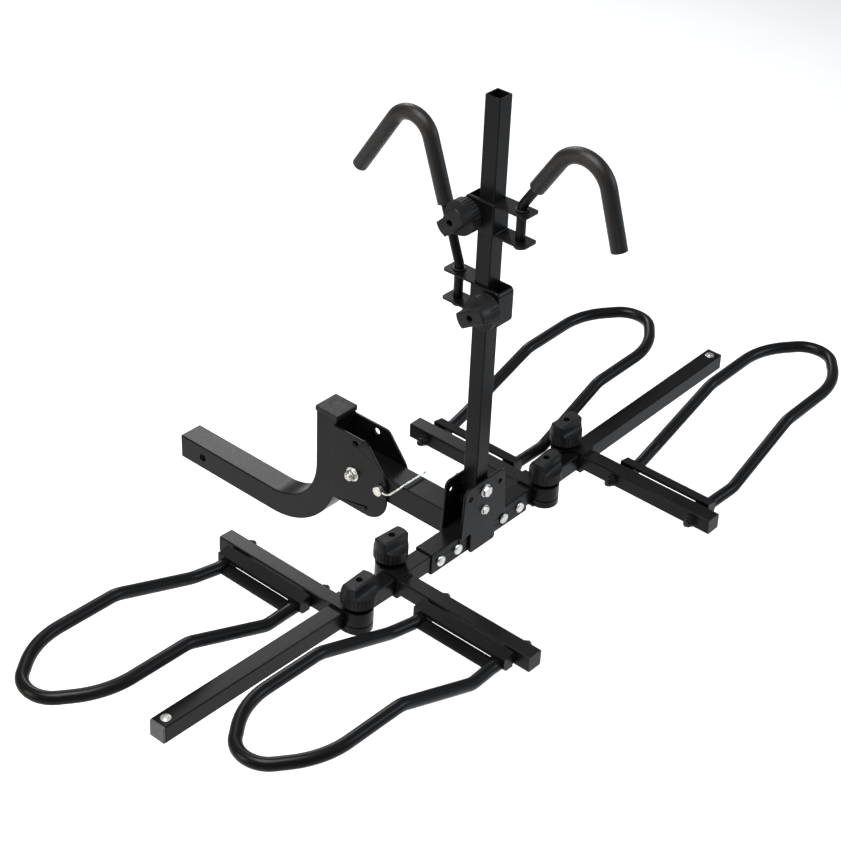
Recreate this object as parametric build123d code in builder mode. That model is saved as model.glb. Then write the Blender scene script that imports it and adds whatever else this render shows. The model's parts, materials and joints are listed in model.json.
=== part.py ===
from build123d import *
import math
import os

os.makedirs("parts", exist_ok=True)

# Hitch mounted carrier for two bicycles.
# Origin on the hitch-pin hole axis, in the middle of the square shank.
# +Y forward to the vehicle, +Z up, +X to the vehicle's right.  Millimetres.

# ---- driving dimensions -------------------------------------------------
SHANK = 50.8
SHANK_WALL = 4.8
SHANK_FRONT_Y = 60
BEND_START_Y = -190
BEND_R = 140
LEG_Y = BEND_START_Y - BEND_R
LEG_TOP_Z = 262.5
PIN_HOLE_R = 8

PLATE_T = 5
PIVOT_Y = -401
PIVOT_Z = 167
PIVOT_BOLT_R = 6.35
LOCK_R = 67
HOLE_CLEAR = 0.08

ARM = 50.6
ARM_WALL = 4
ARM_REAR_Y = -631
ARM_FRONT_Y = -372

BAR_Y = -655
BAR_Z = 162
BAR = 32
BAR_WALL = 2.5
BAR_TILT = 1.5
BAR_END = 726

SLEEVE_HALF = 127
SLEEVE_LOW = 142.7
SLEEVE_HIGH = 184.6
SLEEVE_DEPTH = 38
SLEEVE_BOLT_X = (-105.5, -61, 61, 105.5)
SLEEVE_BOLT_Z = 163

FOLD_Z = 257
FOLD_LOCK_Z = 217
MAST = 30
MAST_WALL = 2.5
MAST_FOOT_Z = 192
MAST_TOP_Z = 982

UPPER_CLAMP_Z = 751
LOWER_CLAMP_Z = 600
CLAMP_H = 56
EAR_T = 3.5

TUBE_R = 11
ROD_R = 8
FOAM_R = 13.4

# tray name: (arm x, arm side along Y, hoop side along X, arm end distance from the bar, bolt shift)
TRAYS = {
    "left_front": (-325, 1, -1, 273, 11),
    "left_rear": (-200, -1, -1, 300, 13),
    "right_front": (158, 1, 1, 273, 13),
    "right_rear": (295, -1, 1, 300, -9),
}


def save(solid, label):
    solid.label = label
    export_step(solid, "parts/" + label + ".step")


def bar_z(x):
    return BAR_Z + abs(x) * math.tan(math.radians(BAR_TILT))


def bar_plane(x, side):
    """Plane on the bar's centreline at x: local x along the bar, local z square to it."""
    rise = math.tan(math.radians(BAR_TILT)) * side
    return Plane(origin=(x, BAR_Y, bar_z(x)), x_dir=(1, 0, rise), z_dir=(-rise, 0, 1))


def bent_line(points, radii):
    """Straight runs joined by round bends, added to the open BuildLine."""
    corner = [Vector(*p) for p in points]
    start = corner[0]
    for i in range(1, len(corner) - 1):
        back = (corner[i - 1] - corner[i]).normalized()
        ahead = (corner[i + 1] - corner[i]).normalized()
        half = math.acos(max(-1, min(1, back.dot(ahead)))) / 2
        reach = radii[i - 1] / math.tan(half)
        enter = corner[i] + back * reach
        leave = corner[i] + ahead * reach
        centre = corner[i] + (back + ahead).normalized() * (radii[i - 1] / math.sin(half))
        middle = centre + (corner[i] - centre).normalized() * radii[i - 1]
        Line(start, enter)
        ThreePointArc(enter, middle, leave)
        start = leave
    Line(start, corner[-1])


def arc_slot(centre, radius, start, span, half):
    """Curved slot with round ends, added to the open BuildSketch."""
    wedge = [(0, 0)]
    for share in (0, 0.5, 1):
        a = math.radians(start + span * share)
        wedge.append((2 * radius * math.cos(a), 2 * radius * math.sin(a)))
    with Locations(centre):
        Circle(radius + half)
        Circle(radius - half, mode=Mode.SUBTRACT)
        Polygon(*wedge, align=None, mode=Mode.INTERSECT)
    for angle in (start, start + span):
        a = math.radians(angle)
        with Locations((centre[0] + radius * math.cos(a), centre[1] + radius * math.sin(a))):
            Circle(half)


def bolt_shape(r, length, head_r, head_h, dome):
    """Bolt with the shank along +Z from z = 0 and the head below z = 0."""
    with BuildPart() as bolt:
        with BuildSketch(Plane.XY):
            Circle(r)
        extrude(amount=length)
        chamfer(bolt.edges().sort_by(Axis.Z)[-1], r * 0.15)
        if dome:
            with BuildSketch(Plane.XY):
                Circle(head_r)
            extrude(amount=-head_h)
            fillet(bolt.edges().filter_by(GeomType.CIRCLE).sort_by(Axis.Z)[0], head_h * 0.75)
        else:
            with BuildSketch(Plane.XY):
                RegularPolygon(head_r, 6)
            extrude(amount=-head_h)
            with BuildSketch(Plane.XY):
                Circle(head_r * 1.15)
            extrude(amount=-1.6)
    return bolt.part


def nut_shape(r, outer_r, height, washer_r, washer_h):
    """Flanged lock nut standing on z = 0 with a clear bore."""
    with BuildPart() as nut:
        with BuildSketch(Plane.XY):
            Circle(washer_r)
        extrude(amount=washer_h)
        with BuildSketch(Plane.XY.offset(washer_h)):
            RegularPolygon(outer_r, 6)
        extrude(amount=height * 0.7)
        with BuildSketch(Plane.XY.offset(washer_h)):
            Circle(outer_r * 0.82)
        extrude(amount=height)
        with BuildSketch(Plane.XY.offset(-1)):
            Circle(r + HOLE_CLEAR)
        extrude(amount=washer_h + height + 2, mode=Mode.SUBTRACT)
    return nut.part


def along(axis_dir, origin):
    """Location that turns +Z of a fastener into axis_dir at origin."""
    x_dir = (0, 0, 1) if abs(axis_dir[2]) < 0.5 else (1, 0, 0)
    return Location(Plane(origin=origin, x_dir=x_dir, z_dir=axis_dir))


# ---- square shank with its bend and upright leg ---------------------------
with BuildPart() as hitch_shank:
    with BuildLine(Plane.YZ) as shank_path:
        Line((SHANK_FRONT_Y, 0), (BEND_START_Y, 0))
        CenterArc((BEND_START_Y, BEND_R), BEND_R, -90, -90)
        Line((LEG_Y, BEND_R), (LEG_Y, LEG_TOP_Z))
    with BuildSketch(Plane.XZ.offset(-SHANK_FRONT_Y)):
        RectangleRounded(SHANK, SHANK, 2.5)
        RectangleRounded(SHANK - 2 * SHANK_WALL, SHANK - 2 * SHANK_WALL, 1.5, mode=Mode.SUBTRACT)
    sweep(path=shank_path.line)
    Cylinder(PIN_HOLE_R, SHANK + 20, rotation=(0, 90, 0), mode=Mode.SUBTRACT)
save(hitch_shank.part, "hitch_shank")

# ---- plastic cap on the leg ------------------------------------------------
with BuildPart() as leg_cap:
    with BuildSketch(Plane.XY.offset(LEG_TOP_Z)):
        with Locations((0, LEG_Y)):
            RectangleRounded(55, 55, 3.5)
    extrude(amount=4.5)
    fillet(leg_cap.edges().group_by(Axis.Z)[-1], 1.6)
    with BuildSketch(Plane.XY.offset(LEG_TOP_Z)):
        with Locations((0, LEG_Y)):
            RectangleRounded(55, 55, 3.5)
            RectangleRounded(SHANK, SHANK, 2.5, mode=Mode.SUBTRACT)
    extrude(amount=-5)
    with BuildSketch(Plane.XY.offset(LEG_TOP_Z)):
        with Locations((0, LEG_Y)):
            RectangleRounded(40.6, 40.6, 1.5)
            RectangleRounded(35, 35, 1, mode=Mode.SUBTRACT)
    extrude(amount=-16)
save(leg_cap.part, "leg_cap")


# ---- side plates that carry the tilting arm --------------------------------
LOCK_PIN_Y = PIVOT_Y - LOCK_R
STOW_ANGLE = 86
DIMPLE_ANGLE = -60


def lock_hole(angle):
    a = math.radians(angle)
    return (PIVOT_Y - LOCK_R * math.cos(a), PIVOT_Z + LOCK_R * math.sin(a))


def pivot_plate(side):
    with BuildPart() as plate:
        with BuildSketch(Plane.YZ.offset(side * SHANK / 2)):
            with BuildLine():
                Polyline((-350, 248), (-432.5, 248), (-481, 189), (-481, 92), (-350, 92), close=True)
            make_face()
        extrude(amount=side * PLATE_T)
        rear = plate.edges().filter_by(Axis.X)
        fillet(rear.filter_by(lambda e: e.center().Y < -480 and e.center().Z < 100), 49)
        fillet(plate.edges().filter_by(Axis.X).filter_by(
            lambda e: e.center().Y < -480 and e.center().Z > 150), 50)
        fillet(plate.edges().filter_by(Axis.X).filter_by(
            lambda e: -435 < e.center().Y < -425 and e.center().Z > 240), 18)
        with Locations((side * 28, PIVOT_Y, PIVOT_Z)):
            Cylinder(PIVOT_BOLT_R + HOLE_CLEAR, 20, rotation=(0, 90, 0), mode=Mode.SUBTRACT)
        for angle in (0, STOW_ANGLE):
            y, z = lock_hole(angle)
            with Locations((side * 28, y, z)):
                Cylinder(PIVOT_BOLT_R + HOLE_CLEAR, 20, rotation=(0, 90, 0), mode=Mode.SUBTRACT)
        y, z = lock_hole(DIMPLE_ANGLE)
        with Locations((side * (SHANK / 2 + PLATE_T - 1.5), y, z)):
            Cylinder(4, 3.02, rotation=(0, 90, 0), mode=Mode.SUBTRACT)
    return plate.part


save(pivot_plate(-1), "pivot_plate_left")
save(pivot_plate(1), "pivot_plate_right")

OUTER_X = SHANK / 2 + PLATE_T
pivot_bolt = bolt_shape(PIVOT_BOLT_R, 2 * OUTER_X + 16, 10.5, 8, False)
pivot_nut = nut_shape(PIVOT_BOLT_R, 10.5, 11, 14, 2.4)
save(Compound(children=[
    pivot_bolt.moved(along((-1, 0, 0), (OUTER_X, PIVOT_Y, PIVOT_Z))),
    pivot_nut.moved(along((-1, 0, 0), (-OUTER_X, PIVOT_Y, PIVOT_Z))),
]), "pivot_fasteners")

# ---- removable lock pin and its wire bail ----------------------------------
PIN_HEAD_X = -OUTER_X - 1
BAIL_R = 1.9
with BuildPart() as lock_pin:
    with Locations((PIN_HEAD_X + 38, LOCK_PIN_Y, PIVOT_Z)):
        Cylinder(PIVOT_BOLT_R, 76, rotation=(0, 90, 0))
    chamfer(lock_pin.edges().sort_by(Axis.X)[-1], 1.6)
    with Locations((PIN_HEAD_X - 5, LOCK_PIN_Y, PIVOT_Z)):
        Cylinder(9.5, 10, rotation=(0, 90, 0))
    fillet(lock_pin.edges().sort_by(Axis.X)[0], 1.5)
    with Locations((PIN_HEAD_X - 5, LOCK_PIN_Y, PIVOT_Z)):
        Cylinder(BAIL_R + 0.05, 40, rotation=(90, 0, 0), mode=Mode.SUBTRACT)
    with Locations((PIN_HEAD_X + 69, LOCK_PIN_Y, PIVOT_Z)):
        Cylinder(BAIL_R + 0.05, 40, rotation=(90, 0, 0), mode=Mode.SUBTRACT)
save(lock_pin.part, "lock_pin")

with BuildPart() as lock_pin_bail:
    with BuildLine() as bail_path:
        bent_line(
            [
                (PIN_HEAD_X - 5, LOCK_PIN_Y + 7, PIVOT_Z),
                (PIN_HEAD_X - 5, LOCK_PIN_Y - 22, PIVOT_Z),
                (PIN_HEAD_X - 4, LOCK_PIN_Y - 50, PIVOT_Z + 31),
                (PIN_HEAD_X + 69, LOCK_PIN_Y - 50, PIVOT_Z + 31),
                (PIN_HEAD_X + 69, LOCK_PIN_Y - 22, PIVOT_Z),
                (PIN_HEAD_X + 69, LOCK_PIN_Y + 5, PIVOT_Z),
            ],
            [24, 13, 13, 24],
        )
    with BuildSketch(Plane(origin=bail_path.line @ 0, z_dir=bail_path.line % 0)):
        Circle(BAIL_R)
    sweep(path=bail_path.line)
save(lock_pin_bail.part, "lock_pin_bail")

# ---- tilting arm ------------------------------------------------------------
with BuildPart() as arm_tube:
    with BuildSketch(Plane.XZ.offset(-ARM_FRONT_Y)):
        with Locations((0, PIVOT_Z)):
            RectangleRounded(ARM, ARM, 2.5)
            RectangleRounded(ARM - 2 * ARM_WALL, ARM - 2 * ARM_WALL, 1.5, mode=Mode.SUBTRACT)
    extrude(amount=ARM_FRONT_Y - ARM_REAR_Y)
    with Locations((0, PIVOT_Y, PIVOT_Z)):
        Cylinder(PIVOT_BOLT_R + HOLE_CLEAR, 80, rotation=(0, 90, 0), mode=Mode.SUBTRACT)
    with BuildSketch(Plane.YZ.offset(-40)):
        arc_slot((PIVOT_Y, PIVOT_Z), LOCK_R, 180, 40, PIVOT_BOLT_R + HOLE_CLEAR)
    extrude(amount=80, mode=Mode.SUBTRACT)
save(arm_tube.part, "arm_tube")

# ---- centre sleeve that joins the two bars ----------------------------------
SLEEVE_MID = (SLEEVE_LOW + SLEEVE_HIGH) / 2
SLEEVE_H = SLEEVE_HIGH - SLEEVE_LOW
REAR_FACE = BAR_Y - SLEEVE_DEPTH / 2
FRONT_FACE = BAR_Y + SLEEVE_DEPTH / 2
with BuildPart() as centre_sleeve:
    with BuildSketch(Plane.YZ.offset(-SLEEVE_HALF)):
        with Locations((BAR_Y, SLEEVE_MID)):
            RectangleRounded(SLEEVE_DEPTH, SLEEVE_H, 3)
            Rectangle(BAR + 0.1, SLEEVE_H - 6, mode=Mode.SUBTRACT)
    extrude(amount=2 * SLEEVE_HALF)
    for x in SLEEVE_BOLT_X:
        with Locations((x, BAR_Y, SLEEVE_BOLT_Z)):
            Cylinder(5 + HOLE_CLEAR, 60, rotation=(90, 0, 0), mode=Mode.SUBTRACT)
save(centre_sleeve.part, "centre_sleeve")


# ---- the two bars, each rising slightly outward ------------------------------
def spar(side):
    length = (BAR_END - 3) / math.cos(math.radians(BAR_TILT))
    with BuildPart() as tube:
        with Locations((side * (3 + length / 2), 0, 0)):
            Box(length, BAR, BAR)
        fillet(tube.edges().filter_by(Axis.X), 2)
        with Locations((side * (3 + length / 2), 0, 0)):
            Box(length + 2, BAR - 2 * BAR_WALL, BAR - 2 * BAR_WALL, mode=Mode.SUBTRACT)
        with Locations((side * (length - 12), 0, 20)):
            Cylinder(4.6, 20, mode=Mode.SUBTRACT)
    tilted = tube.part.moved(Location(bar_plane(0, side)))
    holes = [Pos(x, BAR_Y, SLEEVE_BOLT_Z) * Cylinder(5 + HOLE_CLEAR, 60, rotation=(90, 0, 0))
             for x in SLEEVE_BOLT_X if x * side > 0]
    return tilted - holes


save(spar(-1), "spar_left")
save(spar(1), "spar_right")


def spar_cap(side):
    length = (BAR_END - 3) / math.cos(math.radians(BAR_TILT)) + 3
    with BuildPart() as cap:
        with Locations((side * (length + 2), 0, 0)):
            Box(4, BAR - 1, BAR - 1)
        fillet(cap.faces().sort_by(Axis.X)[-1 if side > 0 else 0].edges(), 1.5)
        with Locations((side * (length - 5), 0, 0)):
            Box(10, BAR - 2 * BAR_WALL - 0.2, BAR - 2 * BAR_WALL - 0.2)
    return cap.part.moved(Location(bar_plane(0, side)))


save(Compound(children=[spar_cap(-1), spar_cap(1)]), "spar_caps")


def spar_button(side):
    length = (BAR_END - 3) / math.cos(math.radians(BAR_TILT))
    with BuildPart() as button:
        with BuildSketch(Plane.XY.offset(BAR / 2)):
            with Locations((side * (length - 12), 0)):
                Circle(8.5)
        extrude(amount=1)
        with BuildSketch(Plane.XY.offset(BAR / 2 - BAR_WALL - 3)):
            with Locations((side * (length - 12), 0)):
                Circle(4.5)
        extrude(amount=BAR_WALL + 5.5)
        fillet(button.edges().sort_by(Axis.Z)[-1], 1)
    return button.part.moved(Location(bar_plane(0, side)))


save(Compound(children=[spar_button(-1), spar_button(1)]), "spar_buttons")

# ---- mast plates on both faces of the sleeve --------------------------------
def mast_plate(y_face, thick_dir, tab, low):
    with BuildPart() as plate:
        with BuildSketch(Plane.XZ.offset(-y_face)):
            with BuildLine():
                Polyline((-58, 182), (-52, 279), (52, 279), (58, 182), close=True)
            make_face()
            with Locations((0, (182 + low) / 2 + 1)):
                Rectangle(2 * tab, 182 - low + 2)
        extrude(amount=-thick_dir * PLATE_T)
        fillet(plate.edges().filter_by(Axis.Y).filter_by(lambda e: e.center().Z > 270), 12)
        fillet(plate.edges().filter_by(Axis.Y).filter_by(lambda e: e.center().Z < low + 5), 6)
        for x, z, r in ((0, FOLD_Z, 6.08), (0, FOLD_LOCK_Z, 5.08), (-38, FOLD_Z, 5), (38, FOLD_Z, 5)):
            with Locations((x, y_face, z)):
                Cylinder(r, 30, rotation=(90, 0, 0), mode=Mode.SUBTRACT)
    return plate.part


save(mast_plate(REAR_FACE, -1, 33, 139), "mast_plate_rear")
save(mast_plate(FRONT_FACE, 1, 36, 139), "mast_plate_front")

# ---- carriage bolts through sleeve and bars ----------------------------------
sleeve_bolt = bolt_shape(5, SLEEVE_DEPTH + 14, 10, 4.5, True)
sleeve_nut = nut_shape(5, 9, 9, 10.5, 1.6)
sleeve_set = []
for x in SLEEVE_BOLT_X:
    sleeve_set.append(sleeve_bolt.moved(along((0, 1, 0), (x, REAR_FACE, SLEEVE_BOLT_Z))))
    sleeve_set.append(sleeve_nut.moved(along((0, 1, 0), (x, FRONT_FACE, SLEEVE_BOLT_Z))))
save(Compound(children=sleeve_set), "sleeve_fasteners")

# ---- mast pivot bolt, lock bolt and their nuts --------------------------------
MAST_GAP = SLEEVE_DEPTH + 2 * PLATE_T
fold_bolt = bolt_shape(6, MAST_GAP + 17, 10.4, 7.5, False)
fold_nut = nut_shape(6, 10.4, 11, 12.5, 2)
lock_bolt = bolt_shape(5, MAST_GAP + 15, 7.8, 5.5, False)
lock_nut = nut_shape(5, 9, 9.5, 11, 2)
PLATES_REAR = REAR_FACE - PLATE_T
PLATES_FRONT = FRONT_FACE + PLATE_T
save(Compound(children=[
    fold_bolt.moved(along((0, 1, 0), (0, PLATES_REAR, FOLD_Z))),
    fold_nut.moved(along((0, 1, 0), (0, PLATES_FRONT, FOLD_Z))),
    lock_bolt.moved(along((0, 1, 0), (0, PLATES_REAR, FOLD_LOCK_Z))),
    lock_nut.moved(along((0, 1, 0), (0, PLATES_FRONT, FOLD_LOCK_Z))),
]), "mast_fasteners")

# ---- spacer washers between plates and mast -----------------------------------
SPACER_T = (SLEEVE_DEPTH - MAST) / 2 - 0.1


def spacer(y_low, z, r):
    with BuildPart() as ring:
        with BuildSketch(Plane.XZ.offset(-y_low)):
            with Locations((0, z)):
                Circle(11)
                Circle(r + HOLE_CLEAR, mode=Mode.SUBTRACT)
        extrude(amount=-SPACER_T)
    return ring.part


save(Compound(children=[
    spacer(REAR_FACE, FOLD_Z, 6),
    spacer(FRONT_FACE - SPACER_T, FOLD_Z, 6),
    spacer(REAR_FACE, FOLD_LOCK_Z, 5),
    spacer(FRONT_FACE - SPACER_T, FOLD_LOCK_Z, 5),
]), "mast_spacers")

# ---- folding mast ---------------------------------------------------------------
with BuildPart() as mast:
    with BuildSketch(Plane.XY.offset(MAST_FOOT_Z)):
        with Locations((0, BAR_Y)):
            RectangleRounded(MAST, MAST, 2)
            RectangleRounded(MAST - 2 * MAST_WALL, MAST - 2 * MAST_WALL, 1, mode=Mode.SUBTRACT)
    extrude(amount=MAST_TOP_Z - MAST_FOOT_Z)
    with Locations((0, BAR_Y, FOLD_Z)):
        Cylinder(6 + HOLE_CLEAR, 60, rotation=(90, 0, 0), mode=Mode.SUBTRACT)
    with BuildSketch(Plane.XZ.offset(-BAR_Y - 30)):
        arc_slot((0, FOLD_Z), FOLD_Z - FOLD_LOCK_Z, -90, 50, 5 + HOLE_CLEAR)
    extrude(amount=60, mode=Mode.SUBTRACT)
save(mast.part, "mast")


# ---- hand knob, axis +Z, standing on z = 0 ----------------------------------------
KNOB_H = 50
KNOB_NECK = 8
KNOB_R = 29.5
GRIP_HALF = 13.5
GRIP_LOW = 27


def knob_shape():
    with BuildPart() as knob:
        with BuildSketch(Plane.XY):
            Circle(19.5)
        extrude(amount=KNOB_NECK)
        with BuildSketch(Plane.XY.offset(KNOB_NECK)):
            Circle(KNOB_R)
        extrude(amount=KNOB_H - KNOB_NECK)
        with BuildSketch(Plane.YZ.offset(-KNOB_R - 2)):
            with Locations((GRIP_HALF + 20, GRIP_LOW + 20), (-GRIP_HALF - 20, GRIP_LOW + 20)):
                RectangleRounded(40, 40, 11)
        extrude(amount=2 * KNOB_R + 4, mode=Mode.SUBTRACT)
        fillet(knob.edges().group_by(Axis.Z)[-1], 3.5)
        with PolarLocations(KNOB_R + 0.6, 28):
            Cylinder(1.7, GRIP_LOW, align=(Align.CENTER, Align.CENTER, Align.MIN), mode=Mode.SUBTRACT)
        with Locations((0, 0, KNOB_H)):
            Cylinder(6, 24, mode=Mode.SUBTRACT)
        with BuildSketch(Plane.XY.offset(-1)):
            Circle(5 + HOLE_CLEAR)
        extrude(amount=38, mode=Mode.SUBTRACT)
    return knob.part


KNOB = knob_shape()


# ---- mast clamps: square collar, two ears for the hook ------------------------------
def mast_clamp(base_z, facing, skirt):
    """facing +1: long side toward the vehicle and ears behind; -1: turned round."""
    with BuildPart() as clamp:
        with BuildSketch(Plane.YZ.offset(-19.8)):
            with Locations((BAR_Y + facing * 10.2, base_z + (CLAMP_H - skirt) / 2)):
                Rectangle(60, CLAMP_H + skirt)
        extrude(amount=39.6)
        free = BAR_Y + facing * 40.2
        fillet(clamp.edges().filter_by(Axis.X).filter_by(lambda e: abs(e.center().Y - free) < 1), 9)
        fillet(clamp.edges().filter_by(Axis.Z), 3)
        with Locations((0, BAR_Y + facing * 10.2, base_z + CLAMP_H / 2)):
            Box(30.6, 51, CLAMP_H + 2 * skirt + 2, mode=Mode.SUBTRACT)
        with Locations((0, BAR_Y + facing * 25, base_z + 28)):
            Cylinder(5 + HOLE_CLEAR, 60, rotation=(0, 90, 0), mode=Mode.SUBTRACT)
        for z in (base_z, base_z + CLAMP_H - EAR_T):
            with BuildSketch(Plane.XY.offset(z)) as ear:
                with Locations((0, BAR_Y - facing * 49.8)):
                    Rectangle(36, 60.4)
                tips = ear.vertices().sort_by(Axis.Y)
                fillet(tips[:2] if facing > 0 else tips[-2:], 6.5)
                with Locations((0, BAR_Y - facing * 59)):
                    Circle(ROD_R + HOLE_CLEAR, mode=Mode.SUBTRACT)
            extrude(amount=EAR_T)
    return clamp.part


save(mast_clamp(UPPER_CLAMP_Z, 1, 0), "mast_clamp_upper")
save(mast_clamp(LOWER_CLAMP_Z, -1, 9), "mast_clamp_lower")

clamp_bolt = bolt_shape(5, 39.6 + 2 + 36, 10, 4.5, True)
for name, base_z, facing, turn_deg in (("upper", UPPER_CLAMP_Z, 1, -45), ("lower", LOWER_CLAMP_Z, -1, -58)):
    bolt_y = BAR_Y + facing * 25
    bolt_z = base_z + CLAMP_H / 2
    with BuildPart() as clamp_washer:
        with BuildSketch(Plane.YZ.offset(-19.8)):
            with Locations((bolt_y, bolt_z)):
                Circle(12)
                Circle(5 + HOLE_CLEAR, mode=Mode.SUBTRACT)
        extrude(amount=-1.9)
    save(Compound(children=[
        clamp_bolt.moved(along((-1, 0, 0), (19.8, bolt_y, bolt_z))),
        clamp_washer.part,
    ]), "mast_clamp_bolt_" + name)
    knob_turn = Location((-21.8, bolt_y, bolt_z), (0, -90, 0)) * Location((0, 0, 0), (0, 0, turn_deg))
    save(KNOB.moved(knob_turn), "mast_knob_" + name)

# ---- frame hooks: bent rod, foam cover and retaining collars ---------------------------
HOOKS = {
    "upper": (
        BAR_Y - 59, UPPER_CLAMP_Z,
        [(-714, 741), (-714, 816), (-838, 1003.6), (-898, 814.5)],
        [26, 52], (-740, 855.3),
    ),
    "lower": (
        BAR_Y + 59, LOWER_CLAMP_Z,
        [(-596, 590), (-596, 664), (-496, 945), (-379.5, 768)],
        [26, 43], (-561.1, 762),
    ),
}


def hook_path(points, radii):
    with BuildLine() as path:
        bent_line([(0, y, z) for y, z in points], radii)
    return path.line


for name, (pin_y, base_z, points, radii, foam_start) in HOOKS.items():
    path = hook_path(points, radii)
    with BuildPart() as hook_rod:
        with BuildSketch(Plane(origin=path @ 0, z_dir=path % 0)):
            Circle(ROD_R)
        sweep(path=path)
    save(hook_rod.part, "hook_rod_" + name)
    tip = path @ 1 + (path % 1) * 6
    foam_path = hook_path([foam_start, points[2], (tip.Y, tip.Z)], radii[1:])
    with BuildPart() as foam:
        with BuildSketch(Plane(origin=foam_path @ 0, z_dir=foam_path % 0)):
            Circle(FOAM_R)
        sweep(path=foam_path)
    save(foam.part - hook_rod.part, "hook_foam_" + name)
    collars = []
    for z, r, h in ((base_z - 8.2, 10, 8), (base_z + CLAMP_H + 0.2, 10.8, 2.8)):
        with BuildPart() as collar:
            with BuildSketch(Plane.XY.offset(z)):
                with Locations((0, pin_y)):
                    Circle(r)
                    Circle(ROD_R, mode=Mode.SUBTRACT)
            extrude(amount=h)
        collars.append(collar.part)
    save(Compound(children=collars), "hook_collars_" + name)

# ---- wheel trays: arm, clamp, knob, hoop -----------------------------------------------
HALF = BAR / 2
CLEAR = 0.3
STRAP_T = 4.5
STRAP_LOW = HALF + CLEAR
STRAP_TOP = STRAP_LOW + STRAP_T
BOLT_V = 22.5
PAD_R = 26
JAW_WALL = 4
ARM_START = HALF + CLEAR + PLATE_T


def tray_arm(side_y, reach):
    length = reach - ARM_START
    with BuildPart() as arm:
        with Locations((0, side_y * (ARM_START + length / 2), HALF - 15)):
            Box(30, length, 30)
        fillet(arm.edges().filter_by(Axis.Y), 2.5)
        with Locations((0, side_y * (ARM_START + length / 2 - 1.5), HALF - 15)):
            Box(25, length - 3, 25, mode=Mode.SUBTRACT)
        for v in (reach - 37, reach - 209):
            with Locations((0, side_y * v, -2)):
                Cylinder(5 + HOLE_CLEAR, 60, rotation=(0, 90, 0), mode=Mode.SUBTRACT)
    return arm.part


def half_ring(side_y, shift, low):
    """Outline of the round wall on the bolt side of the bar, kept clear of the bar's face."""
    with BuildSketch(Plane.XY.offset(low)) as ring:
        with Locations((shift, -side_y * BOLT_V)):
            Circle(PAD_R)
            Circle(PAD_R - JAW_WALL, mode=Mode.SUBTRACT)
        with Locations((0, side_y * 20)):
            Rectangle(80, 80 - 2 * CLEAR - 6, mode=Mode.SUBTRACT)
    return ring.sketch


def tray_bracket(side_y, shift):
    strap_end = ARM_START + 3.5
    with BuildPart() as bracket:
        with BuildSketch(Plane.XY.offset(STRAP_LOW)):
            with Locations((0, side_y * (strap_end - BOLT_V) / 2)):
                Rectangle(32, strap_end + BOLT_V)
            with Locations((shift, -side_y * BOLT_V)):
                Circle(PAD_R)
        extrude(amount=STRAP_T)
        with Locations((0, side_y * (HALF + CLEAR + PLATE_T / 2), CLEAR / 2)):
            Box(32, PLATE_T, BAR + CLEAR)
        extrude(half_ring(side_y, shift, -6), amount=STRAP_LOW + 6)
        with Locations((shift, -side_y * BOLT_V, 20)):
            Cylinder(5 + HOLE_CLEAR, 40, mode=Mode.SUBTRACT)
    return bracket.part


def tray_jaw(side_y, shift):
    with BuildPart() as jaw:
        with BuildSketch(Plane.XY.offset(-HALF - CLEAR - PLATE_T)):
            with Locations((0, side_y * (ARM_START - BOLT_V) / 2)):
                Rectangle(32, ARM_START + BOLT_V)
            with Locations((shift, -side_y * BOLT_V)):
                Circle(PAD_R)
        extrude(amount=PLATE_T)
        extrude(half_ring(side_y, shift, -HALF - CLEAR), amount=HALF + CLEAR - 8)
        with Locations((shift, -side_y * BOLT_V, -20)):
            Cylinder(5 + HOLE_CLEAR, 20, mode=Mode.SUBTRACT)
    return jaw.part


BAND_IN = 21.5
BAND_OUT = 44
BAND_TOP = 16.5
BAND_DROP = 4.5
STRIP_HALF = 96
BLOCK_IN = 68
TUBE_START_U = 32
TUBE_START_W = -5
SADDLE_V = 81
STRIP_BOLT_V = 86


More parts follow.
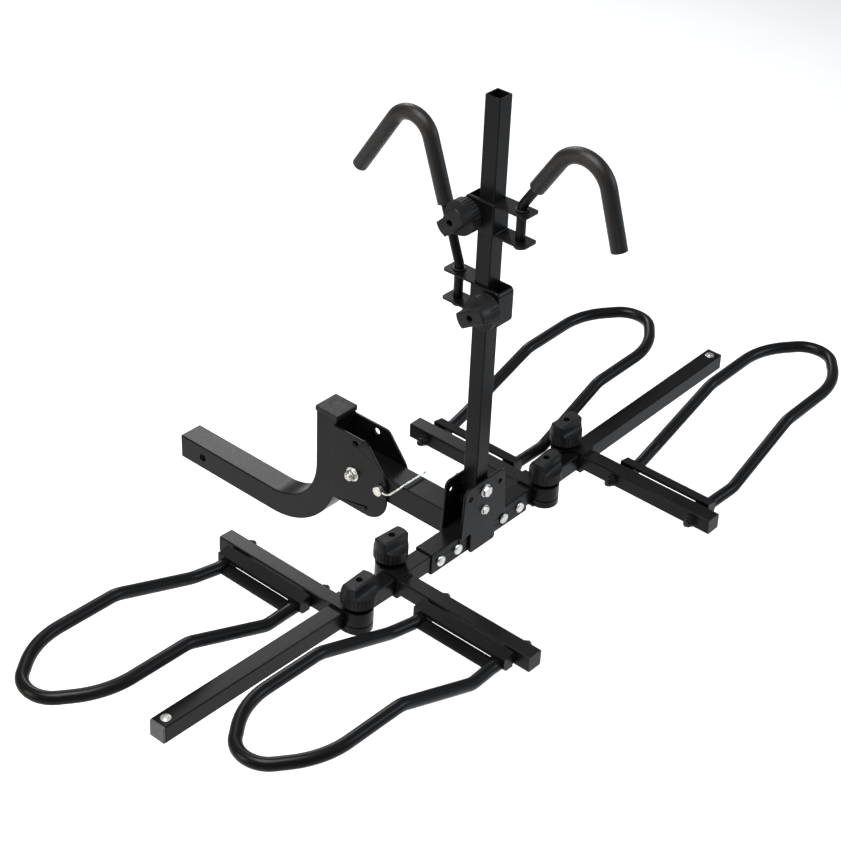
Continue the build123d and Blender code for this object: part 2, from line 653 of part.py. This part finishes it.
def tray_strip(side_x, hoop_v):
    """Base of a hoop: top band, two end blocks that hold the tube, and a wheel rest between them."""
    with BuildPart() as strip:
        with BuildSketch(Plane.XZ.offset(STRIP_HALF - hoop_v)):
            Polygon(*[(side_x * u, w) for u, w in (
                (BAND_IN, BAND_TOP), (BAND_OUT, BAND_TOP - BAND_DROP), (BAND_OUT, BAND_TOP - 12),
                (BAND_OUT - 3, BAND_TOP - 12), (BAND_OUT - 3, BAND_TOP - BAND_DROP - 2.5),
                (BAND_IN, BAND_TOP - 3))], align=None)
        extrude(amount=-2 * STRIP_HALF)
        with BuildSketch(Plane.XZ.offset(STRIP_HALF - hoop_v)):
            Polygon(*[(side_x * u, w) for u, w in (
                (BAND_IN, BAND_TOP - 1), (BAND_OUT, BAND_TOP - BAND_DROP - 1), (BAND_OUT, -7),
                (BAND_OUT - 6, -13), (BAND_IN, -13))], align=None)
        extrude(amount=-(STRIP_HALF - BLOCK_IN))
        with BuildSketch(Plane.XZ.offset(-BLOCK_IN - hoop_v)):
            Polygon(*[(side_x * u, w) for u, w in (
                (BAND_IN, BAND_TOP - 1), (BAND_OUT, BAND_TOP - BAND_DROP - 1), (BAND_OUT, -7),
                (BAND_OUT - 6, -13), (BAND_IN, -13))], align=None)
        extrude(amount=-(STRIP_HALF - BLOCK_IN))
        with BuildSketch(Plane.XZ.offset(SADDLE_V - TUBE_R - 0.2 - hoop_v)):
            Polygon(*[(side_x * u, w) for u, w in ((39, -2), (63, -5.5), (63, -8.5), (39, -5))], align=None)
        extrude(amount=-2 * (SADDLE_V - TUBE_R - 0.2))
        for v in (-1, 1):
            with Locations((side_x * (15 + BAND_IN) / 2, hoop_v + v * STRIP_BOLT_V, -2)):
                Box(BAND_IN - 15, 16, 18)
            with Locations((side_x * 15, hoop_v + v * STRIP_BOLT_V, -2)):
                Cylinder(5 + HOLE_CLEAR, 20, rotation=(0, 90, 0), mode=Mode.SUBTRACT)
            with Locations((side_x * (BAND_IN + 5.5), hoop_v + v * STRIP_BOLT_V, -2)):
                Cylinder(9.4, 11, rotation=(0, 90, 0), mode=Mode.SUBTRACT)
            with Locations((side_x * (TUBE_START_U + 20), hoop_v + v * SADDLE_V, TUBE_START_W)):
                Cylinder(TUBE_R + 0.03, 40.5, rotation=(0, 90, 0), mode=Mode.SUBTRACT)
    return strip.part


def tray_hoop(side_x, hoop_v):
    high = 59
    half = [
        (TUBE_START_U, SADDLE_V, TUBE_START_W),
        (TUBE_START_U + 28, SADDLE_V, TUBE_START_W),
        (112, 87, 0),
        (278, 84, high),
        (442, 84, high),
        (519, 25, high - 2),
    ]
    run = half + [(u, -v, w) for u, v, w in reversed(half)]
    with BuildLine() as path:
        bent_line([(side_x * u, hoop_v + v, w) for u, v, w in run], [60, 60, 60, 150, 50, 50, 150, 60, 60, 60])
    with BuildPart() as hoop:
        with BuildSketch(Plane(origin=path.line @ 0, z_dir=path.line % 0)):
            Circle(TUBE_R)
            Circle(TUBE_R - 2, mode=Mode.SUBTRACT)
        sweep(path=path.line)
    return hoop.part


tray_bolt = bolt_shape(5, STRAP_TOP + 2 + HALF + CLEAR + PLATE_T + 36, 11, 5, True)
hoop_bolt = bolt_shape(5, 30 + 6 + 18, 8, 5, False)
hoop_nut = nut_shape(5, 9.8, 10, 11.5, 1.8)


def tray_fasteners(side_x, side_y, reach, shift):
    with BuildPart() as washer:
        with BuildSketch(Plane.XY.offset(STRAP_TOP)):
            with Locations((shift, -side_y * BOLT_V)):
                Circle(12)
                Circle(5 + HOLE_CLEAR, mode=Mode.SUBTRACT)
        extrude(amount=1.9)
    bottom = -HALF - CLEAR - PLATE_T
    items = [washer.part, tray_bolt.moved(along((0, 0, 1), (shift, -side_y * BOLT_V, bottom)))]
    for v in (reach - 37, reach - 209):
        items.append(hoop_bolt.moved(along((-side_x, 0, 0), (side_x * BAND_IN, side_y * v, -2))))
        items.append(hoop_nut.moved(along((-side_x, 0, 0), (-side_x * 15, side_y * v, -2))))
    return Compound(children=items)


for name, (arm_x, side_y, side_x, reach, shift) in TRAYS.items():
    place = Location(bar_plane(arm_x, 1 if arm_x > 0 else -1))
    hoop_v = side_y * (reach - 123)
    save(tray_arm(side_y, reach).moved(place), "tray_arm_" + name)
    save(tray_bracket(side_y, shift).moved(place), "tray_bracket_" + name)
    save(tray_jaw(side_y, shift).moved(place), "tray_jaw_" + name)
    save(tray_fasteners(side_x, side_y, reach, shift).moved(place), "tray_fasteners_" + name)
    turn = Location((shift, -side_y * BOLT_V, STRAP_TOP + 2), (0, 0, 4 if side_y > 0 else -3))
    save(KNOB.moved(place * turn), "tray_knob_" + name)
    save(tray_strip(side_x, hoop_v).moved(place), "tray_strip_" + name)
    save(tray_hoop(side_x, hoop_v).moved(place), "tray_hoop_" + name)
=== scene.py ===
import json
import math
import random

import bmesh
import bpy
from mathutils import Matrix, Vector


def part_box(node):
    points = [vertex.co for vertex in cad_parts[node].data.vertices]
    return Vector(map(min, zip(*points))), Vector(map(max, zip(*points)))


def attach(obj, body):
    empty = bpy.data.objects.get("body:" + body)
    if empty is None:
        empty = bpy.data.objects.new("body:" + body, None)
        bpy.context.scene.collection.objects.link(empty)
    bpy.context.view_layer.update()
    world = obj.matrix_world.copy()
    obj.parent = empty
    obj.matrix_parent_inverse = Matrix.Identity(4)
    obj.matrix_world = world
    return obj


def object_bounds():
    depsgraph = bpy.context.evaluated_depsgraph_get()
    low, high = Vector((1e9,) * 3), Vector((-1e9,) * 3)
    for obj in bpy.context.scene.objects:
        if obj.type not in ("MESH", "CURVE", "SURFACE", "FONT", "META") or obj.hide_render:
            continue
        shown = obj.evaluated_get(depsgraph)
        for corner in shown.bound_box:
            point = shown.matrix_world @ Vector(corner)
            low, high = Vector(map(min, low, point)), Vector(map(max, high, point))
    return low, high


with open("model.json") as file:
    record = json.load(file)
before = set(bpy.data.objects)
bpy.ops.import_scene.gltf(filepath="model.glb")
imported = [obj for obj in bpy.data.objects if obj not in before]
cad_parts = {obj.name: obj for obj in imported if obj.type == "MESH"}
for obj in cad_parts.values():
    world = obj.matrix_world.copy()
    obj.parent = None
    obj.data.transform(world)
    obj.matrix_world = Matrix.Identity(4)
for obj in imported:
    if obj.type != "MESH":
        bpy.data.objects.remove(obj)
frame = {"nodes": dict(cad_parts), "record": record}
cad_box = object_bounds()
nodes = frame["nodes"]
record = frame["record"]
random.seed(11)

# Lengths are in metres and angles in degrees.


# ---- materials ------------------------------------------------------------------
NOISE_LOW = 0.3
NOISE_HIGH = 0.7


class Finish:
    """A procedural material: Principled BSDF with noise in colour, roughness and bump."""

    def __init__(self, name):
        self.material = bpy.data.materials.new(name)
        self.material.use_nodes = True
        self.tree = self.material.node_tree
        self.shader = self.tree.nodes["Principled BSDF"]
        self.coords = self.tree.nodes.new("ShaderNodeTexCoord")

    def set(self, **values):
        for key, value in values.items():
            self.shader.inputs[key.replace("_", " ")].default_value = value
        return self

    def noise(self, scale, detail=3.0, grain=0.55):
        node = self.tree.nodes.new("ShaderNodeTexNoise")
        node.inputs["Scale"].default_value = scale
        node.inputs["Detail"].default_value = detail
        node.inputs["Roughness"].default_value = grain
        self.tree.links.new(self.coords.outputs["Object"], node.inputs["Vector"])
        return node.outputs["Fac"]

    def colour(self, factor, low, high, start=NOISE_LOW):
        """Colour from low to high, as the factor rises from start to NOISE_HIGH."""
        node = self.tree.nodes.new("ShaderNodeValToRGB")
        first, last = node.color_ramp.elements
        first.position = start
        first.color = low
        last.position = NOISE_HIGH
        last.color = high
        self.tree.links.new(factor, node.inputs["Fac"])
        self.tree.links.new(node.outputs["Color"], self.shader.inputs["Base Color"])
        return self

    def roughness(self, factor, low, high):
        node = self.tree.nodes.new("ShaderNodeMapRange")
        node.inputs["From Min"].default_value = NOISE_LOW
        node.inputs["From Max"].default_value = NOISE_HIGH
        node.inputs["To Min"].default_value = low
        node.inputs["To Max"].default_value = high
        self.tree.links.new(factor, node.inputs["Value"])
        self.tree.links.new(node.outputs["Result"], self.shader.inputs["Roughness"])
        return self

    def bump(self, factor, strength, distance):
        node = self.tree.nodes.new("ShaderNodeBump")
        node.inputs["Strength"].default_value = strength
        node.inputs["Distance"].default_value = distance
        self.tree.links.new(factor, node.inputs["Height"])
        self.tree.links.new(node.outputs["Normal"], self.shader.inputs["Normal"])
        return self


def grey(value, warm=0.0):
    return (value * (1 + warm), value, value * (1 - warm), 1)


def powder_coat():
    f = Finish("black_powder_coat").set(Metallic=0.0, Specular_IOR_Level=0.09)
    f.colour(f.noise(scale=9, detail=4), low=grey(0.0022), high=grey(0.004), start=0.35)
    f.roughness(f.noise(scale=160), low=0.3, high=0.34)
    return f.bump(f.noise(scale=900, detail=2), strength=0.07, distance=0.0003).material


def zinc():
    f = Finish("zinc_hardware").set(Metallic=1.0)
    f.colour(f.noise(scale=120, detail=4), low=(0.36, 0.355, 0.33, 1), high=(0.58, 0.575, 0.55, 1))
    f.roughness(f.noise(scale=200), low=0.3, high=0.44)
    return f.bump(f.noise(scale=700, detail=2), strength=0.08, distance=0.0003).material


def black_zinc():
    f = Finish("black_zinc_hardware").set(Metallic=0.6, Specular_IOR_Level=0.15)
    f.colour(f.noise(scale=150, detail=4), low=grey(0.010), high=grey(0.024, warm=0.05))
    f.roughness(f.noise(scale=240), low=0.3, high=0.42)
    return f.bump(f.noise(scale=800, detail=2), strength=0.1, distance=0.0003).material


def black_plastic():
    f = Finish("black_plastic").set(Specular_IOR_Level=0.11)
    f.colour(f.noise(scale=40, detail=4), low=grey(0.004), high=grey(0.0075))
    f.roughness(f.noise(scale=90), low=0.38, high=0.5)
    return f.bump(f.noise(scale=1400, detail=2), strength=0.22, distance=0.0004).material


def grey_plastic():
    f = Finish("grey_plastic").set(Specular_IOR_Level=0.35)
    f.colour(f.noise(scale=40, detail=4), low=grey(0.032), high=grey(0.05))
    f.roughness(f.noise(scale=90), low=0.45, high=0.6)
    return f.bump(f.noise(scale=1400, detail=2), strength=0.2, distance=0.0004).material


def foam():
    f = Finish("foam").set(Specular_IOR_Level=0.17, Sheen_Weight=0.02, Sheen_Roughness=0.5)
    cells = f.noise(scale=700, detail=5, grain=0.7)
    f.colour(cells, low=grey(0.0035, warm=0.06), high=grey(0.0075, warm=0.14))
    f.roughness(f.noise(scale=60), low=0.31, high=0.4)
    skin = f.noise(scale=1700, detail=4, grain=0.7)
    return f.bump(skin, strength=0.45, distance=0.0006).material


MATERIALS = {
    "black_powder_coat": powder_coat(),
    "zinc_hardware": zinc(),
    "black_zinc_hardware": black_zinc(),
    "black_plastic": black_plastic(),
    "grey_plastic": grey_plastic(),
    "foam": foam(),
}


def paint(obj, slot):
    obj.data.materials.clear()
    obj.data.materials.append(MATERIALS[slot])


# ---- CAD nodes: finish, smooth shading and small edge radii ----------------------------
ROUND_NODES = ("hook_foam", "hook_rod", "tray_hoop", "lock_pin_bail")
BIG_NODES = (
    "hitch_shank", "arm_tube", "spar_left", "spar_right",
    "centre_sleeve", "mast", "tray_arm", "pivot_plate",
)
CROWDED_NODES = ("mast_clamp", "tray_", "mast_knob")
MERGE_DISTANCE = 0.000005
BIG_EDGE = 0.001
SMALL_EDGE = 0.0006
EDGE_ANGLE = 38
SHARP_ANGLE = 32


def finish_node(name, obj, slot):
    """Material, rounded edges and smooth shading; crowded nodes keep their radii from crossing."""
    paint(obj, slot)
    weld = obj.modifiers.new("weld", "WELD")
    weld.merge_threshold = MERGE_DISTANCE
    if not name.startswith(ROUND_NODES):
        bevel = obj.modifiers.new("edge_radius", "BEVEL")
        bevel.limit_method = "ANGLE"
        bevel.angle_limit = math.radians(EDGE_ANGLE)
        bevel.width = BIG_EDGE if name.startswith(BIG_NODES) else SMALL_EDGE
        bevel.segments = 2
        bevel.use_clamp_overlap = name.startswith(CROWDED_NODES)
        bevel.harden_normals = False
    obj.data.shade_smooth()
    obj.data.set_sharp_from_angle(angle=math.radians(SHARP_ANGLE))
    even = obj.modifiers.new("even_normals", "WEIGHTED_NORMAL")
    even.mode = "FACE_AREA"
    even.weight = 50
    even.keep_sharp = not name.startswith(ROUND_NODES)


for part in record["subparts"]:
    finish_node(part["node"], nodes[part["node"]], part["material_slot"])


# ---- weld beads ------------------------------------------------------------------------
BEAD_SIDES = 10
RING_STEP = 0.55
LEAST_RINGS = 4
RIPPLE_DEPTH = 0.14
RIPPLE_PHASE = 1.57
RIPPLE_JITTER = 0.05
TAPER_START = 0.45
TAPER_RINGS = 2

ARM_BEAD = 0.0026
PLATE_BEAD = 0.0024
SLEEVE_BEAD = 0.0019
EAR_BEAD = 0.0019
TRAY_BEAD = 0.0018
CORNER = 0.003


def bead(name, start, end, radius, body):
    """A run of overlapping weld ripples from start to end, thin at both ends."""
    start = Vector(start)
    run = Vector(end) - start
    count = max(LEAST_RINGS, int(run.length / (radius * RING_STEP)))
    along = run.normalized()
    side = along.orthogonal().normalized()
    up = along.cross(side)
    shape = bmesh.new()
    rings = []
    for i in range(count + 1):
        wave = RIPPLE_DEPTH * abs(math.sin(i * RIPPLE_PHASE))
        ripple = 1 - RIPPLE_DEPTH + wave + random.uniform(-RIPPLE_JITTER, RIPPLE_JITTER)
        taper = min(1.0, TAPER_START + (1 - TAPER_START) * min(i, count - i) / TAPER_RINGS)
        r = radius * ripple * taper
        centre = start + run * (i / count)
        ring = []
        for k in range(BEAD_SIDES):
            a = 2 * math.pi * k / BEAD_SIDES
            ring.append(shape.verts.new(centre + side * (r * math.cos(a)) + up * (r * math.sin(a))))
        rings.append(ring)
    for a, b in zip(rings, rings[1:]):
        for k in range(BEAD_SIDES):
            n = (k + 1) % BEAD_SIDES
            shape.faces.new((a[k], a[n], b[n], b[k]))
    shape.faces.new(list(reversed(rings[0])))
    shape.faces.new(rings[-1])
    bmesh.ops.recalc_face_normals(shape, faces=shape.faces)
    mesh = bpy.data.meshes.new(name)
    shape.to_mesh(mesh)
    shape.free()
    mesh.shade_smooth()
    obj = bpy.data.objects.new(name, mesh)
    bpy.context.scene.collection.objects.link(obj)
    paint(obj, "black_powder_coat")
    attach(obj, body)


def bead_across(name, low, high, y, z, radius, body):
    """A bead along X, from corner to corner of the box low to high."""
    bead(name, (low.x + CORNER, y, z), (high.x - CORNER, y, z), radius, body)


def arm_welds():
    """Round the end of the arm tube, where it meets the centre sleeve."""
    low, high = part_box("arm_tube")
    for tag, x in (("left", low.x), ("right", high.x)):
        foot = (x, low.y, low.z + CORNER)
        top = (x, low.y, high.z - CORNER)
        bead("weld_arm_" + tag, foot, top, ARM_BEAD, "arm")
    bead_across("weld_arm_top", low, high, low.y, high.z, ARM_BEAD, "arm")
    bead_across("weld_arm_under", low, high, low.y, low.z, ARM_BEAD, "arm")


def leg_welds():
    """Down the front edge of each pivot plate, against the side of the leg."""
    leg_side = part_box("hitch_shank")[1].x
    start_up = 0.055
    stop_short = 0.004
    stand_off = 0.001
    for tag, side in (("left", -1), ("right", 1)):
        low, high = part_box("pivot_plate_" + tag)
        x = side * leg_side + side * stand_off
        foot = (x, high.y, low.z + start_up)
        top = (x, high.y, high.z - stop_short)
        bead("weld_plate_" + tag, foot, top, PLATE_BEAD, "hitch_frame")


def ear_welds():
    """Where the two ears of each mast clamp meet its collar."""
    collar_depth = 0.06
    sunk = 0.0004
    ear_level = 0.0245
    for tag, facing in (("upper", 1), ("lower", -1)):
        low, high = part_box("mast_clamp_" + tag)
        bolt_low, bolt_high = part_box("mast_clamp_bolt_" + tag)
        middle = (bolt_low.z + bolt_high.z) / 2
        wall = high.y - collar_depth if facing > 0 else low.y + collar_depth
        y = wall - facing * sunk
        for level, z in (("top", middle + ear_level), ("bottom", middle - ear_level)):
            bead_across("weld_ear_" + tag + "_" + level, low, high, y, z, EAR_BEAD, "clamp_" + tag)


def tray_welds():
    """Across the top of each tray arm, where its clamp bracket ends."""
    proud = 0.0002
    for tag in ("left_front", "left_rear", "right_front", "right_rear"):
        low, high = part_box("tray_arm_" + tag)
        bracket_low, bracket_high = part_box("tray_bracket_" + tag)
        y = bracket_high.y if tag.endswith("front") else bracket_low.y
        z = high.z + proud
        bead_across("weld_tray_top_" + tag, low, high, y, z, TRAY_BEAD, "tray_" + tag)


def sleeve_welds():
    """Up both edges of each mast plate, against the centre sleeve."""
    low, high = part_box("centre_sleeve")
    proud = 0.0005
    above = 0.006
    below = 0.004
    for tag, side in (("rear", -1), ("front", 1)):
        plate_low, plate_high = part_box("mast_plate_" + tag)
        y = (low.y if side < 0 else high.y) + side * proud
        for end, x in (("left", plate_low.x), ("right", plate_high.x)):
            foot = (x, y, low.z + above)
            top = (x, y, high.z - below)
            bead("weld_sleeve_" + tag + "_" + end, foot, top, SLEEVE_BEAD, "arm")


arm_welds()
leg_welds()
ear_welds()
tray_welds()
sleeve_welds()


# ---- stage: floor, light, camera ----------------------------------------------------------
FLOOR_DROP = 0.32
FLOOR_HALF = 14

LIT_POINT = (0, -0.5, 0.3)
NEUTRAL = (1.0, 1.0, 1.0)
WARM = (1.0, 0.9, 0.78)
COOL = (0.72, 0.84, 1.0)
# name, place, width and height, watts, colour
LIGHTS = (
    ("top_light", (-0.9, -0.6, 3.3), (1.6, 1.6), 185, NEUTRAL),
    ("left_light", (-3.6, 0.9, 1.4), (1.0, 1.6), 74, WARM),
    ("rear_light", (2.2, -3.2, 1.9), (1.2, 1.2), 66, COOL),
    ("front_light", (2.4, 2.6, 2.6), (1.4, 1.0), 75, NEUTRAL),
)
WORLD_COLOUR = (0.96, 0.97, 1.0, 1)
WORLD_STRENGTH = 0.36

CAMERA_AZIMUTH = -49.78
CAMERA_ELEVATION = 34.25
CAMERA_ROLL = 2.41
CAMERA_TARGET = (-0.149, -0.654, 0.459)
CAMERA_DISTANCE = 3.2
CAMERA_LENS_MM = 85.7
CAMERA_SENSOR_MM = 36


def floor():
    mesh = bpy.data.meshes.new("floor")
    z = cad_box[0][2] - FLOOR_DROP
    h = FLOOR_HALF
    mesh.from_pydata([(-h, -h, z), (h, -h, z), (h, h, z), (-h, h, z)], [], [(0, 1, 2, 3)])
    obj = bpy.data.objects.new("floor", mesh)
    bpy.context.scene.collection.objects.link(obj)
    f = Finish("floor_pale").set(Specular_IOR_Level=0.1)
    f.colour(f.noise(scale=3, detail=2), low=grey(0.86), high=grey(0.88))
    f.roughness(f.noise(scale=5, detail=2), low=0.85, high=0.95)
    mesh.materials.append(f.material)


def area_light(name, place, size, power, colour):
    data = bpy.data.lights.new(name, "AREA")
    data.shape = "RECTANGLE"
    data.size, data.size_y = size
    data.energy = power
    data.color = colour
    obj = bpy.data.objects.new(name, data)
    obj.location = place
    aim = Vector(LIT_POINT) - Vector(place)
    obj.rotation_euler = aim.to_track_quat("-Z", "Y").to_euler()
    bpy.context.scene.collection.objects.link(obj)


def studio_light():
    for light in LIGHTS:
        area_light(*light)
    world = bpy.data.worlds.new("studio")
    world.use_nodes = True
    background = world.node_tree.nodes["Background"]
    background.inputs["Color"].default_value = WORLD_COLOUR
    background.inputs["Strength"].default_value = WORLD_STRENGTH
    bpy.context.scene.world = world


def camera():
    azimuth = math.radians(CAMERA_AZIMUTH)
    elevation = math.radians(CAMERA_ELEVATION)
    roll = math.radians(CAMERA_ROLL)
    back = Vector((
        math.sin(azimuth) * math.cos(elevation),
        -math.cos(azimuth) * math.cos(elevation),
        math.sin(elevation),
    ))
    right = Vector((math.cos(azimuth), math.sin(azimuth), 0))
    up = back.cross(right)
    turned_right = right * math.cos(roll) + up * math.sin(roll)
    turned_up = up * math.cos(roll) - right * math.sin(roll)
    data = bpy.data.cameras.new("camera")
    data.sensor_fit = "HORIZONTAL"
    data.sensor_width = CAMERA_SENSOR_MM
    data.lens = CAMERA_LENS_MM
    data.clip_end = 60
    obj = bpy.data.objects.new("camera", data)
    turn = Matrix((turned_right, turned_up, back)).transposed()
    place = Vector(CAMERA_TARGET) + back * CAMERA_DISTANCE
    obj.matrix_world = Matrix.Translation(place) @ turn.to_4x4()
    bpy.context.scene.collection.objects.link(obj)
    bpy.context.scene.camera = obj


floor()
studio_light()
camera()
bpy.context.scene.view_settings.view_transform = "Standard"
